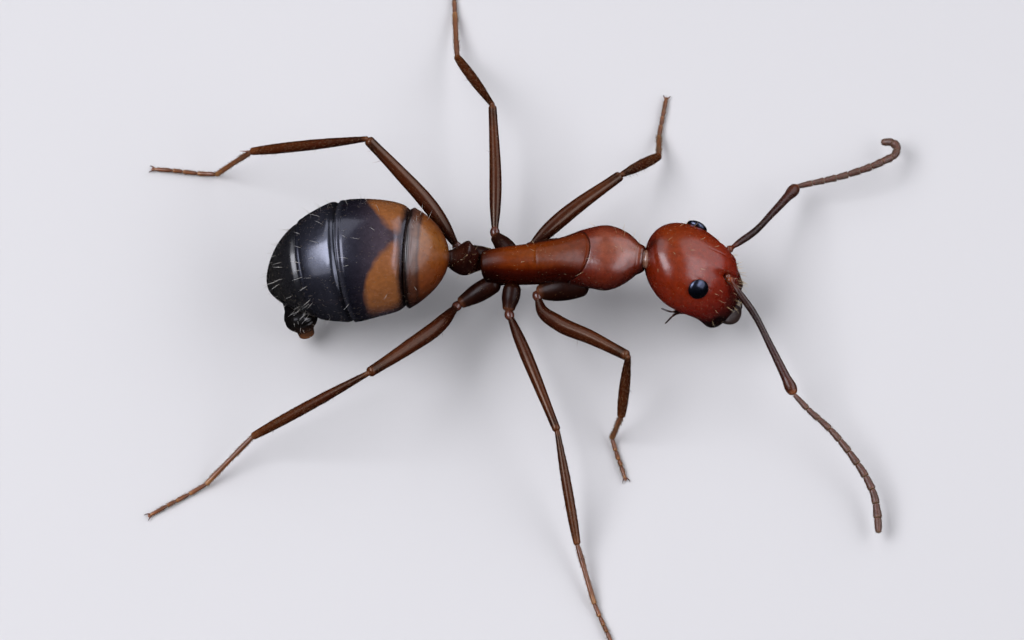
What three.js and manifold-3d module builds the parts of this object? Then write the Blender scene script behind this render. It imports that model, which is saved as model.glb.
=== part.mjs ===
// Carpenter ant worker at life size, standing with its head turned down and to its right.
// Lengths are millimetres and angles degrees. +X runs to the head, +Y to the ant's left and +Z up.
// The feet stand at z 0.
import * as THREE from 'three';
import { mergeVertices } from 'three/addons/utils/BufferGeometryUtils.js';
import Module from 'manifold-3d';

const wasm = await Module();
wasm.setup();

// Driving dimensions.
const GAP = 0.03; // between two pieces that meet
const LIMB = 0.25; // least half thickness of a leg or feeler
const FOOT_HEIGHT = 0.2; // of a foot's middle, so that the floor cuts a flat under it

const HEAD = { length: 2.48, width: 1.96, height: 1.64 };
const HEAD_PLACE = { x: 3.68, y: -0.1, z: 1.56, yaw: -14.5, pitch: 47.5, roll: -20 };
const EYE = { along: -0.29, out: 0.835, up: 0.35, long: 0.23, high: 0.215, deep: 0.12, tilt: 62 };
const SOCKET = { along: 0.25, out: 0.36, up: 0.7 };
const GASTER = { front: -1.27, back: -4.94, widest: -3.12, radius: 1.25, taper: 0.3 };

const FORE = { girth: [0.28, 0.32, 0.25], coxa: 1.25, femur: 2.6, tibia: 1.6, heel: 0.62, toes: 0.92 };
const MIDDLE = { girth: [0.25, 0.28, 0.25], coxa: 0.7, femur: 2.9, tibia: 2.33, heel: 1.27, toes: 0.95 };
const HIND = { girth: [0.25, 0.28, 0.25], coxa: 0.95, femur: 3.0, tibia: 2.95, heel: 1.3, toes: 1.3 };

// Each leg hangs from its hip, where coxa and femur meet. A heading turns from straight ahead to the left and
// a climb rises above the level; heel and toes only have headings, as they reach for the floor.
const LEGS = {
  fore_left: {
    size: FORE, hip: [0.3, 0.55, 1.35],
    coxa: [170, -14], femur: [42, 0], tibia: [51, -38], toes: [90, 80],
  },
  fore_right: {
    size: FORE, hip: [0.47, -0.72, 1.39],
    coxa: [-163, -12], femur: [-41, 18], tibia: [-102, -67], toes: [-138, -73],
  },
  middle_left: {
    size: MIDDLE, hip: [-0.35, 0.87, 1.35],
    coxa: [125, -17], femur: [91, 6], tibia: [112, -32], toes: [92, 93],
  },
  middle_right: {
    size: MIDDLE, hip: [-0.08, -0.88, 1.35],
    coxa: [-98, -18], femur: [-70, 0], tibia: [-79, -25], toes: [-74, -68],
  },
  hind_left: {
    size: HIND, hip: [-1.07, 0.62, 1.2],
    coxa: [154, -17], femur: [138, 33], tibia: [166, -33], toes: [174, 173],
  },
  hind_right: {
    size: HIND, hip: [-1.08, -0.62, 1.2],
    coxa: [-154, -17], femur: [-130, 21], tibia: [-166, -34], toes: [-139, -149],
  },
};
const THIGH = [0.24, 0.28, 0.25];
const SHIN = [0.24, 0.27, 0.25];

// Feelers: the elbow, then the points that the funiculus passes, in the ant's own frame.
const FEELERS = {
  left: [
    [5.84, 2.47, 0.52], [6.95, 2.72, 0.62], [7.55, 2.97, 0.62], [7.87, 3.27, 0.45], [7.78, 3.6, 0.33],
  ],
  right: [
    [5.71, -2.53, 0.88], [6.58, -3.44, 0.72], [7.26, -4.3, 0.5], [7.4, -4.8, 0.38], [7.37, -5.27, 0.32],
  ],
};

const COLOURS = {
  head: 0x7a2c14, jaw: 0x2a120c, eye: 0x08080a, trunk: 0x8a4524, waist: 0x3a1c12, thigh: 0x46200f,
  shin: 0x4a2412, foot: 0x8a4a22, feeler: 0x3c2620, amber: 0xa8632c, slate: 0x3a3238, black: 0x16161c,
};

const UP = new THREE.Vector3(0, 0, 1);
const degrees = THREE.MathUtils.degToRad;
const ant = new THREE.Group();

// ---------------------------------------------------------------- making and fitting pieces

// Reads rows of numbers smoothly at any share of the way from the first row to the last. Rows are evenly
// spaced, or each lies at its own share.
function between(rows, shares = rows.map((row, i) => i / (rows.length - 1))) {
  const spline = new THREE.CubicInterpolant(shares, rows.flat(), rows[0].length);
  return (share) => [...spline.evaluate(share)];
}

// Where each row that starts with its x lies, as a share of the way from the first to the last.
function along(rows) {
  const [[first], [last]] = [rows[0], rows.at(-1)];
  return rows.map(([x]) => (x - first) / (last - first));
}

// The rings of a body, as shares of its axis with how full each ring is. A blunt end rounds off as a quarter
// of an ellipse does; an end with no bluntness is cut flat.
function stations({ length, blunt, rings }) {
  const ROUNDING = [0.5, 0.87];
  const ellipse = (reach) => ROUNDING.map((full) => [reach * (1 - Math.sqrt(1 - full * full)), full]);
  const end = (reach) => (reach > 0 ? ellipse(reach) : []);
  const start = end(blunt[0]);
  const close = end(blunt[1]).map(([reach, full]) => [length - reach, full]).reverse();
  const middle = Array.from({ length: rings }, (_, i) => {
    const share = i / (rings - 1);
    return [THREE.MathUtils.lerp(blunt[0], length - blunt[1], share), 1];
  });
  return [[0, 0], ...start, ...middle, ...close, [length, 0]].map(([place, full]) => [place / length, full]);
}

// A closed body round a curved axis: a sphere's grid with each ring carried to its station. size(share) gives
// the half width, the height above the axis and the depth below it. bend(share, lean) can move a point along
// the axis by its lean, which is 1 on the back, 0 on either side and -1 underneath.
function loft({ axis, size, blunt = [0, 0], rings = 4, sides = 8, up = UP, bend = null }) {
  const places = stations({ length: axis.getLength(), blunt, rings });
  const geometry = new THREE.SphereGeometry(1, sides, places.length - 1);
  const at = geometry.attributes.position;
  places.forEach(([share, full], ring) => {
    for (let side = 0; side <= sides; side += 1) {
      const turn = (side / sides) * 2 * Math.PI;
      const moved = bend ? bend(share, full > 0 ? Math.cos(turn) : 0) : share;
      const ahead = axis.getTangentAt(THREE.MathUtils.clamp(moved, 0, 1));
      const left = new THREE.Vector3().crossVectors(up, ahead).normalize();
      const top = new THREE.Vector3().crossVectors(ahead, left);
      const [wide, above, below] = size(moved);
      const point = axis.getPointAt(THREE.MathUtils.clamp(moved, 0, 1));
      point.addScaledVector(top, full * Math.cos(turn) * (Math.cos(turn) > 0 ? above : below));
      point.addScaledVector(left, full * Math.sin(turn) * wide);
      at.setXYZ(ring * (sides + 1) + side, point.x, point.y, point.z);
    }
  });
  return closed(geometry);
}

// The same geometry with only its places, and each shared one held once.
function closed(geometry) {
  geometry.deleteAttribute('normal');
  geometry.deleteAttribute('uv');
  return mergeVertices(geometry, 1e-4);
}

function solid(geometry) {
  return new wasm.Manifold(new wasm.Mesh({
    numProp: 3,
    vertProperties: new Float32Array(geometry.attributes.position.array),
    triVerts: new Uint32Array(geometry.index.array),
  }));
}

function surface(manifold) {
  const mesh = manifold.getMesh();
  const geometry = new THREE.BufferGeometry();
  geometry.setAttribute('position', new THREE.Float32BufferAttribute(mesh.vertProperties, 3));
  geometry.setIndex(new THREE.Uint32BufferAttribute(mesh.triVerts, 1));
  return mergeVertices(geometry, 1e-6);
}

// A geometry grown outwards all over, as the space that a neighbour leaves free.
function swollen(geometry, by) {
  const grown = geometry.clone();
  grown.computeVertexNormals();
  const at = grown.attributes.position;
  const out = grown.attributes.normal;
  for (let i = 0; i < at.count; i += 1) {
    at.setXYZ(i, at.getX(i) + by * out.getX(i), at.getY(i) + by * out.getY(i), at.getZ(i) + by * out.getZ(i));
  }
  grown.deleteAttribute('normal');
  return grown;
}

// Takes out of a mesh what its neighbours fill, with the gap between them.
function clear(mesh, ...neighbours) {
  ant.updateMatrixWorld(true);
  const toMesh = mesh.matrixWorld.clone().invert();
  let rest = solid(mesh.geometry);
  for (const other of neighbours) {
    const move = toMesh.clone().multiply(other.matrixWorld);
    rest = rest.subtract(solid(swollen(other.geometry, GAP).applyMatrix4(move)));
  }
  mesh.geometry = surface(rest);
}

function piece(name, geometry, color, parent = ant, roughness = 0.35) {
  const mesh = new THREE.Mesh(geometry, new THREE.MeshStandardMaterial({ color, roughness, metalness: 0 }));
  mesh.name = name;
  parent.add(mesh);
  return mesh;
}

function line(...points) {
  return new THREE.CatmullRomCurve3(points.map((point) => new THREE.Vector3(...point)));
}

// ---------------------------------------------------------------- trunk and waist

// The trunk is one smooth form, parted at its sutures. Each row is x, height, half width, above and below.
const TRUNK = [
  [2.9, 2.14, 0.13, 0.13, 0.14],
  [2.6, 2.09, 0.31, 0.26, 0.31],
  [2.3, 2.06, 0.575, 0.43, 0.46],
  [1.94, 2.03, 0.69, 0.53, 0.55],
  [1.55, 2.01, 0.625, 0.52, 0.58],
  [1.04, 1.96, 0.47, 0.46, 0.56],
  [0.6, 1.87, 0.415, 0.45, 0.52],
  [0.18, 1.79, 0.38, 0.45, 0.52],
  [-0.2, 1.73, 0.345, 0.45, 0.5],
  [-0.62, 1.66, 0.3, 0.38, 0.42],
];
const trunkAxis = line(...TRUNK.map(([x, z]) => [x, 0, z]));
const trunkSize = between(TRUNK.map(([, , wide, above, below]) => [wide, above, below]), along(TRUNK));

// One length of the trunk between two shares of its axis. A bow carries the suture forward over the back.
function trunkPiece(name, colour, [from, to], [bowFront, bowBack], blunt, rings) {
  const share = (part, lean) => {
    const bow = THREE.MathUtils.lerp(bowFront, bowBack, part) * lean;
    return THREE.MathUtils.clamp(THREE.MathUtils.lerp(from, to, part) - bow, 0, 1);
  };
  const geometry = loft({
    axis: trunkAxis, size: (at) => trunkSize(at), bend: share, blunt, rings, sides: 20,
  });
  return piece(name, geometry, colour);
}

const FIRST_SUTURE = { at: 0.423, bow: 0.035 };
const SECOND_SUTURE = { at: 0.675, bow: 0.005 };
const suture = GAP / trunkAxis.getLength();
const prothorax = trunkPiece(
  'prothorax', COLOURS.trunk, [0, FIRST_SUTURE.at - suture], [0, FIRST_SUTURE.bow], [0.05, 0], 8,
);
const mesothorax = trunkPiece(
  'mesothorax', COLOURS.trunk,
  [FIRST_SUTURE.at, SECOND_SUTURE.at - suture], [FIRST_SUTURE.bow, SECOND_SUTURE.bow], [0, 0], 5,
);
const propodeum = trunkPiece(
  'propodeum', COLOURS.trunk, [SECOND_SUTURE.at, 1], [SECOND_SUTURE.bow, 0], [0, 0.16], 6,
);

// The waist: a low stalk that carries one upright node.
const WAIST_ASIDE = 0.07;
const WAIST = [
  [-0.45, 1.68, 0.15, 0.14, 0.14],
  [-0.66, 1.7, 0.2, 0.2, 0.17],
  [-0.82, 1.73, 0.28, 0.46, 0.21],
  [-0.98, 1.76, 0.315, 0.66, 0.23],
  [-1.12, 1.8, 0.27, 0.52, 0.2],
  [-1.25, 1.86, 0.19, 0.2, 0.17],
  [-1.4, 1.93, 0.15, 0.14, 0.14],
];
const waistSize = between(WAIST.map(([, , wide, above, below]) => [wide, above, below]), along(WAIST));
const petiole = piece('petiole', loft({
  axis: line(...WAIST.map(([x, z]) => [x, WAIST_ASIDE, z])), size: waistSize, rings: 9, sides: 14,
}), COLOURS.waist);

// ---------------------------------------------------------------- gaster

// The gaster is one egg, parted at the rear rims of its plates. Its axis sinks and turns aside to the rear.
const gasterAxis = line(
  [GASTER.front, 0.07, 2.02], [-2.2, 0.06, 1.97], [GASTER.widest, 0.02, 1.89], [-4.1, -0.14, 1.67],
  [GASTER.back, -0.33, 1.33],
);
const gasterSize = (share) => {
  const { x } = gasterAxis.getPointAt(THREE.MathUtils.clamp(share, 0, 1));
  const inFront = x > GASTER.widest;
  const reach = inFront ? GASTER.front - GASTER.widest : GASTER.widest - GASTER.back;
  const away = Math.abs(x - GASTER.widest) / reach;
  const taper = inFront ? 1 : 1 - GASTER.taper * away ** 4;
  const radius = GASTER.radius * taper * Math.sqrt(Math.max(1 - away ** 2, 0));
  return [radius, radius, radius];
};

// Rear rims of the plates, as shares of the axis. Rings crowd towards the ends, where the egg rounds off.
const RIMS = [0, 0.245, 0.6, 0.8, 1];
const PLATE_COLOURS = [COLOURS.amber, COLOURS.slate, COLOURS.black, COLOURS.black];
const rim = GAP / gasterAxis.getLength();
const plates = PLATE_COLOURS.map((colour, i) => {
  const from = RIMS[i];
  const to = RIMS[i + 1] - (i < 3 ? rim : 0);
  const crowd = (part) => {
    if (i === 0) return part ** 2;
    return i === 3 ? 1 - (1 - part) ** 2 : part;
  };
  return piece(`gaster_plate_${i + 1}`, loft({
    axis: gasterAxis,
    size: gasterSize,
    bend: (part) => THREE.MathUtils.lerp(from, to, crowd(part)),
    rings: i === 0 || i === 3 ? 8 : 5,
    sides: 24,
  }), colour);
});

// The last segment curls down and to the right and ends in the acid pore.
const TIP = [[0.34, 0.34, 0.34], [0.3, 0.28, 0.3], [0.2, 0.18, 0.2], [0.13, 0.12, 0.13]];
const gasterTip = piece('gaster_tip', loft({
  axis: line([-4.42, -0.42, 1.16], [-4.4, -0.58, 0.9], [-4.33, -0.74, 0.62], [-4.27, -0.88, 0.4]),
  size: between(TIP), up: new THREE.Vector3(-1, 0, 0.2), blunt: [0, 0.08], rings: 4, sides: 12,
}), COLOURS.black);

// ---------------------------------------------------------------- head

const head = new THREE.Group();
head.position.set(HEAD_PLACE.x, HEAD_PLACE.y, HEAD_PLACE.z);
head.rotation.set(degrees(HEAD_PLACE.roll), degrees(HEAD_PLACE.pitch), degrees(HEAD_PLACE.yaw), 'ZYX');
ant.add(head);

// From the back of the head to the front edge of the face: share of half the width, of half the height above
// and of half the height below.
const CAPSULE = [
  [0.86, 0.84, 0.8],
  [0.96, 0.96, 0.97],
  [1, 1, 1],
  [0.99, 1, 0.97],
  [0.93, 0.95, 0.88],
  [0.83, 0.82, 0.76],
  [0.7, 0.62, 0.64],
  [0.58, 0.42, 0.54],
];
const capsuleShare = between(CAPSULE);
const capsule = piece('head', loft({
  axis: line([-HEAD.length / 2, 0, 0], [HEAD.length / 2, 0, 0]),
  size: (share) => {
    const [wide, above, below] = capsuleShare(share);
    return [(wide * HEAD.width) / 2, (above * HEAD.height) / 2, (below * HEAD.height) / 2];
  },
  blunt: [1.25, 0.35], rings: 7, sides: 26,
}), COLOURS.head, head);

for (const [side, left] of [['left', 1], ['right', -1]]) {
  const ball = closed(new THREE.SphereGeometry(1, 12, 8));
  const eye = piece(`eye_${side}`, ball.scale(EYE.long, EYE.high, EYE.deep), COLOURS.eye, head, 0.15);
  eye.position.set(EYE.along, left * EYE.out, EYE.up);
  eye.rotation.set(-left * degrees(EYE.tilt), 0, 0);
  clear(capsule, eye);
}

// Jaws: two curved blades that close under the front of the face.
const JAW = [[0.17, 0.12, 0.14], [0.2, 0.12, 0.14], [0.16, 0.1, 0.12], [0.07, 0.05, 0.06]];
const jaws = [['left', 1], ['right', -1]].map(([side, left]) => {
  const jaw = piece(`jaw_${side}`, loft({
    axis: line(
      [0.85, left * 0.4, -0.26], [1.12, left * 0.38, -0.23],
      [1.33, left * 0.25, -0.2], [1.41, left * 0.06, -0.19],
    ),
    size: between(JAW), blunt: [0.1, 0.05], rings: 4, sides: 10,
  }), COLOURS.jaw, head);
  clear(jaw, capsule);
  return jaw;
});
clear(jaws[1], jaws[0]);
clear(prothorax, capsule);

// ---------------------------------------------------------------- feelers

for (const [side, left] of [['left', 1], ['right', -1]]) {
  ant.updateMatrixWorld(true);
  const socket = head.localToWorld(new THREE.Vector3(SOCKET.along, left * SOCKET.out, SOCKET.up)).toArray();
  const route = FEELERS[side];
  const round = () => [LIMB, LIMB, LIMB];
  const scape = piece(`scape_${side}`, loft({
    axis: line(socket, route[0]), size: round, blunt: [0.1, LIMB], rings: 4,
  }), COLOURS.feeler);
  clear(scape, capsule);
  const funiculus = line(...route);
  const HALF = 0.5;
  const seam = GAP / funiculus.getLength();
  const lengths = [['base', 0, HALF - seam], ['tip', HALF, 1]].map(([part, from, to]) => piece(
    `funiculus_${part}_${side}`,
    loft({
      axis: funiculus, size: round, bend: (share) => THREE.MathUtils.lerp(from, to, share),
      blunt: part === 'tip' ? [0, LIMB] : [LIMB, 0], rings: 5,
    }),
    COLOURS.feeler,
  ));
  clear(lengths[0], scape);
}

// ---------------------------------------------------------------- legs

// The step from one joint to the next.
function stride(length, heading, climb) {
  const flat = length * Math.cos(degrees(climb));
  return new THREE.Vector3(
    flat * Math.cos(degrees(heading)), flat * Math.sin(degrees(heading)), length * Math.sin(degrees(climb)),
  );
}

// A leg segment lies along its own +X, from the joint nearer the body to the next.
function segment(name, colour, leg, joint, length, [heading, climb], thickness, blunt) {
  const size = between(thickness.map((half) => [half, half, half]));
  const geometry = loft({ axis: line([0, 0, 0], [length, 0, 0]), size, blunt, rings: 3 });
  const mesh = piece(name, geometry, colour, leg);
  mesh.position.copy(joint);
  mesh.rotation.set(0, -degrees(climb), degrees(heading), 'ZYX');
  return mesh;
}

const roots = [];
for (const [name, { size, hip, coxa, femur, tibia, toes }] of Object.entries(LEGS)) {
  const leg = new THREE.Group();
  leg.position.set(...hip);
  ant.add(leg);
  const start = stride(size.coxa, ...coxa).negate();
  const hipJoint = new THREE.Vector3();
  const knee = stride(size.femur, ...femur);
  const ankle = knee.clone().add(stride(size.tibia, ...tibia));

  const root = segment(`coxa_${name}`, COLOURS.waist, leg, start, size.coxa, coxa, size.girth, [0.2, LIMB]);
  clear(root, prothorax, mesothorax, propodeum, petiole, ...roots);
  roots.push(root);
  const thigh = segment(`femur_${name}`, COLOURS.thigh, leg, hipJoint, size.femur, femur, THIGH, [0.2, LIMB]);
  clear(thigh, root, prothorax, mesothorax, propodeum);
  const shin = segment(`tibia_${name}`, COLOURS.shin, leg, knee, size.tibia, tibia, SHIN, [0.2, LIMB]);
  clear(shin, thigh);

  // The heel comes down from the ankle to the floor, and the toes lie along it and are cut flat underneath.
  const floor = -hip[2];
  const drop = floor + FOOT_HEIGHT - ankle.z;
  const heel = stride(Math.sqrt(size.heel ** 2 - drop ** 2), toes[0], 0).setZ(drop);
  const tip = heel.clone().add(stride(size.toes, toes[1], 0));
  const foot = piece(`tarsus_${name}`, loft({
    axis: line([0, 0, 0], heel.toArray(), tip.toArray()),
    size: () => [LIMB, LIMB, LIMB], blunt: [0.2, 0.15], rings: 6,
  }), COLOURS.foot, leg);
  foot.position.copy(ankle);
  foot.geometry = surface(solid(foot.geometry).trimByPlane([0, 0, 1], floor - ankle.z));
  clear(foot, shin);
}

clear(petiole, propodeum, plates[0]);
clear(gasterTip, plates[2], plates[3]);

// The origin is on the floor, under the middle of the whole ant.
const box = new THREE.Box3().setFromObject(ant);
const middle = box.getCenter(new THREE.Vector3());
ant.position.set(-middle.x, -middle.y, 0);

export default ant;
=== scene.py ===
"""A carpenter ant worker, made piece by piece from the trunk outwards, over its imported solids.

The making is worked out in millimetres in the ant's own frame: +x to the head, +y to its left, +z up.
"""

import math

import bpy
import numpy as np
from mathutils import Matrix, Vector


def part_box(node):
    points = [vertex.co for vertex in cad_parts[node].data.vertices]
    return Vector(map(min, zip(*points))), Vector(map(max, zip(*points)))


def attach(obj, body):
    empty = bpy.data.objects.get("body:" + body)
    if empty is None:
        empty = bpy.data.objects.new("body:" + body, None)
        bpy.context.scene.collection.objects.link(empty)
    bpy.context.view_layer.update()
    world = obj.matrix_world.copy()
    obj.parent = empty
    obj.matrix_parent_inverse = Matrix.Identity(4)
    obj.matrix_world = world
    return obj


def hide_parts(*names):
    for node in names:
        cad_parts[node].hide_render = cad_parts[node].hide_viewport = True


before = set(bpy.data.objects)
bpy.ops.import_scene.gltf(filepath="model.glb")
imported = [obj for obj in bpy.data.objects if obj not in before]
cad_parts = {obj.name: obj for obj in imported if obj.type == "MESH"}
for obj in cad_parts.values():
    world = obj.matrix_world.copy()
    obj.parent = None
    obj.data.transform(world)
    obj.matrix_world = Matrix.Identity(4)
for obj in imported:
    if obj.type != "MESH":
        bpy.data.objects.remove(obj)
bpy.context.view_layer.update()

# ---------------------------------------------------------------- trunk
# The trunk is a box of hard plates that carries head, legs and waist: pronotum, mesonotum and propodeum.
# Its cuticle is amber-brown chitin, painted darker down the flanks as shade, polished by nature to a soft
# shine. The plates grow as one skin and show where they join as fine sutures.
MM = 0.001  # one millimetre, in Blender's metres
ROOT = "root"  # the ant's one body, as nothing moves
GASTER_FRONT = -1.27
# The ant's own frame is placed so that the gaster's front and the trunk's middle lie where the solids
# have them.
right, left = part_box("mesothorax")
HOME = np.array([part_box("gaster_plate_1")[1].x / MM - GASTER_FRONT, (right.y + left.y) / 2 / MM, 0.0])
PATH_POINTS = 240  # points along which a line's length is measured
END_RINGS = 14  # rings that round off a blunt end
STRETCH = 0.96  # share of an unwrap's height that a skin fills between its two poles

# Each row: x, height of the axis, half width, height above it, depth below it.
TRUNK = [
    (2.9, 2.14, 0.13, 0.13, 0.14),
    (2.6, 2.09, 0.29, 0.25, 0.3),
    (2.3, 2.06, 0.545, 0.42, 0.45),
    (1.94, 2.03, 0.69, 0.53, 0.55),
    (1.55, 2.01, 0.625, 0.52, 0.58),
    (1.04, 1.95, 0.47, 0.46, 0.56),
    (0.6, 1.88, 0.415, 0.45, 0.53),
    (0.18, 1.82, 0.38, 0.45, 0.54),
    (-0.2, 1.77, 0.345, 0.45, 0.53),
    (-0.62, 1.69, 0.3, 0.38, 0.45),
]
FRONT_ASIDE, BEND_FROM, BEND_LENGTH = 0.1, 1.8, 1.1  # the front end curves to the right, to meet the head
REAR_ASIDE, STEP_FROM, STEP_LENGTH = 0.04, 1.6, 1.2  # and the rear lies a little to the right
FIRST_SUTURE, FIRST_BOW = 0.5, 0.13
SECOND_SUTURE, SECOND_BOW = 0.675, 0.005
SUTURE_WIDTH = 0.018
FIRST_DEPTH, SECOND_DEPTH = 0.02, 0.005
COLLAR = 0.062  # share of the trunk at which its hard front edge begins
MARGIN = 118  # degrees from the back to the pronotum's lower edge
MESONOTUM_HOLE, PROPODEUM_HOLE = (0.88, 70), (0.52, 74)  # breathing holes: share of the plate, degrees
GLAND = (0.78, 128)  # a swelling low on the propodeum


def smooth(keys, rows):
    """Reads rows of numbers smoothly at and between their keys."""
    keys, rows = np.array(keys, float), np.array(rows, float)
    slopes = np.gradient(rows, keys, axis=0)

    def read(at):
        at = np.clip(np.asarray(at, float), keys[0], keys[-1])
        i = np.clip(np.searchsorted(keys, at, "right") - 1, 0, len(keys) - 2)
        gap = (keys[i + 1] - keys[i])[..., None]
        t = (at - keys[i])[..., None] / gap
        back = 2 * t**3 - 3 * t**2 + 1
        lift, drop = t**3 - 2 * t**2 + t, t**3 - t**2
        return back * rows[i] + lift * gap * slopes[i] + (1 - back) * rows[i + 1] + drop * gap * slopes[i + 1]

    return read


def path(points):
    """A smooth line through points: how to read it at a share of its length, and that length."""
    points = np.array(points, float)
    steps = np.linalg.norm(np.diff(points, axis=0), axis=1)
    coarse = smooth(np.r_[0, np.cumsum(steps)], points)
    fine = coarse(np.linspace(0, steps.sum(), PATH_POINTS))
    run = np.r_[0, np.cumsum(np.linalg.norm(np.diff(fine, axis=0), axis=1))]
    return smooth(run / run[-1], fine), run[-1]


def unit(vectors):
    """Vectors of length 1 that point the same way."""
    return vectors / np.maximum(np.linalg.norm(vectors, axis=-1, keepdims=True), 1e-12)


def loft(axis, size, rings, sides, blunt=(0, 0), up=(0, 0, 1), bend=None, carve=None):
    """A closed skin round a path, as a grid of points with a pole at each end.

    size(share) gives the half width, the height above and the depth below. bend(share, turn) moves a point
    along the axis, and carve(points, share, turn) lifts or sinks the skin. turn is 0 on the back, which faces
    up, and grows to the left. blunt is how long each rounded end is.
    """
    read, length = axis

    def end(reach):
        angle = np.linspace(0, np.pi / 2, END_RINGS + 1)[1:]
        return (reach * (1 - np.cos(angle)), np.sin(angle)) if reach else (np.zeros(1), np.ones(1))

    (start, start_full), (close, close_full) = end(blunt[0] / length), end(blunt[1] / length)
    middle = np.linspace(blunt[0] / length, 1 - blunt[1] / length, rings)[1:-1]
    share = np.r_[start, middle, 1 - close[::-1]]
    full = np.r_[start_full, np.ones(len(middle)), close_full[::-1]][:, None, None]
    turn = (np.arange(sides) / sides * 2 - 1) * np.pi
    at = np.repeat(share[:, None], sides, 1)
    if bend:
        at = np.clip(bend(at, turn), 0, 1)
    step = 0.5 / (rings + END_RINGS)
    ahead = unit(read(at + step) - read(at - step))
    left = unit(np.cross(np.array(up, float), ahead))
    top = np.cross(ahead, left)
    wide, above, below = np.moveaxis(size(at), -1, 0)
    high = np.where(np.cos(turn) > 0, above, below) * np.cos(turn)
    middle_line = read(at)
    points = middle_line + full * (high[..., None] * top + (wide * np.sin(turn))[..., None] * left)
    poles = read(np.clip(bend(np.array([0.0, 1.0]), np.pi / 2), 0, 1) if bend else np.array([0.0, 1.0]))
    skin = {"points": points, "poles": poles, "share": share, "turn": turn}
    face(skin)
    if carve:
        lift = carve(points, at, turn) * full[..., 0]
        skin["points"] = points + lift[..., None] * skin["normals"]
        face(skin)
    return skin


def face(skin):
    """Works out which way each point of a skin looks."""
    points = skin["points"]
    along = np.gradient(points, axis=0)
    around = np.roll(points, -1, 1) - np.roll(points, 1, 1)
    skin["normals"] = unit(np.cross(along, around))


def heights(skin):
    """Where a skin's rings lie on its unwrap, from 0 at the first pole to 1 at the last."""
    return (1 - STRETCH) / 2 + STRETCH * skin["share"]


def mount(name, vertices, faces, unwrap, values, materials, replaced, slot):
    """Makes a smooth mesh with its unwrap and its values at each point, and fixes it to the ant."""
    mesh = bpy.data.meshes.new(name)
    mesh.from_pydata(((np.concatenate(vertices) + HOME) * MM).tolist(), [], faces)
    mesh.uv_layers.new(name="OFBake").data.foreach_set("uv", np.concatenate(unwrap).ravel())
    for label, parts in values.items():
        mesh.attributes.new(label, "FLOAT", "POINT").data.foreach_set("value", np.concatenate(parts))
    mesh.polygons.foreach_set("use_smooth", np.ones(len(faces), bool))
    for material in materials:
        mesh.materials.append(material)
    made = bpy.data.objects.new(name, mesh)
    bpy.context.scene.collection.objects.link(made)
    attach(made, ROOT)
    if replaced:
        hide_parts(*replaced)
    return mesh


def piece(name, skins, finish, replaced, slot):
    """Joins skins in one mesh that stands for its solids. Each skin has a band of the unwrap to itself."""
    vertices, faces, unwrap, along, aside, kinds = [], [], [], [], [], []
    count = 0
    finishes = finish if isinstance(finish, list) else [finish] * len(skins)
    materials = list(dict.fromkeys(finishes))
    for band, skin in enumerate(skins):
        rings, sides = skin["points"].shape[:2]
        grid = count + np.arange(rings * sides).reshape(rings, sides)
        first, last = count + rings * sides, count + rings * sides + 1
        count = last + 1
        vertices += [skin["points"].reshape(-1, 3), skin["poles"]]
        along += [np.repeat(skin["share"], sides), [0.0, 1.0]]
        aside += [np.tile(np.abs(skin["turn"] - skin.get("roll", 0)) / np.pi, rings), [0.5, 0.5]]
        x = np.arange(sides) / sides
        y = heights(skin)
        this_ring, next_ring = grid[:-1], grid[1:]
        quads = np.stack([this_ring, next_ring, np.roll(next_ring, -1, 1), np.roll(this_ring, -1, 1)], -1)
        across = np.stack([x, x, x + 1 / sides, x + 1 / sides], -1)
        quad_x = np.tile(across, (rings - 1, 1, 1))
        quad_y = np.repeat(np.stack([y[:-1], y[1:], y[1:], y[:-1]], -1)[:, None], sides, 1)
        caps = [
            (first, grid[0], np.roll(grid[0], -1), 0.0, y[0]),
            (last, np.roll(grid[-1], -1), grid[-1], 1.0, y[-1]),
        ]
        faces += quads.reshape(-1, 4).tolist()
        unwrap.append(np.stack([quad_x, (band + quad_y) / len(skins)], -1).reshape(-1, 2))
        for pole, one, other, tip, edge in caps:
            faces += np.stack([np.full(sides, pole), one, other], -1).tolist()
            cap_x = np.stack([x + 0.5 / sides, x, x + 1 / sides], -1)
            cap_y = (band + np.tile([tip, edge, edge], (sides, 1))) / len(skins)
            unwrap.append(np.stack([cap_x, cap_y], -1).reshape(-1, 2))
        kinds += [materials.index(finishes[band])] * ((rings + 1) * sides)
    mesh = mount(name, vertices, faces, unwrap, {"along": along, "aside": aside}, materials, replaced, slot)
    mesh.polygons.foreach_set("material_index", kinds)


def near(distance, width):
    """1 on a line or spot, a third at its width from there, and next to nothing at twice that."""
    return np.exp(-((np.asarray(distance) / width) ** 2))


def linear(code):
    """An sRGB hex colour as the linear numbers that a shader takes."""
    parts = [int(code[i : i + 2], 16) / 255 for i in (1, 3, 5)]
    return [p / 12.92 if p <= 0.04045 else ((p + 0.055) / 1.055) ** 2.4 for p in parts] + [1.0]


def add(tree, kind, inputs=(), out=0, **settings):
    """Adds a shader node with its settings, sets or links its inputs, and gives the output that is used."""
    made = tree.nodes.new("ShaderNode" + kind)
    stops = settings.pop("stops", {})
    for key, value in settings.items():
        setattr(made, key, value)
    if stops:
        elements = made.color_ramp.elements
        while len(elements) < len(stops):
            elements.new(0.5)
        for element, (place, code) in zip(elements, stops.items()):
            element.position, element.color = place, linear(code)
    for socket, value in dict(inputs).items():
        if isinstance(value, bpy.types.NodeSocket):
            tree.links.new(value, made.inputs[socket])
        else:
            made.inputs[socket].default_value = value
    return made.outputs[out] if made.outputs else None


def per_mm(size):
    """The scale of a pattern whose features are that many millimetres across."""
    return 1 / (size * MM)


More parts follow.
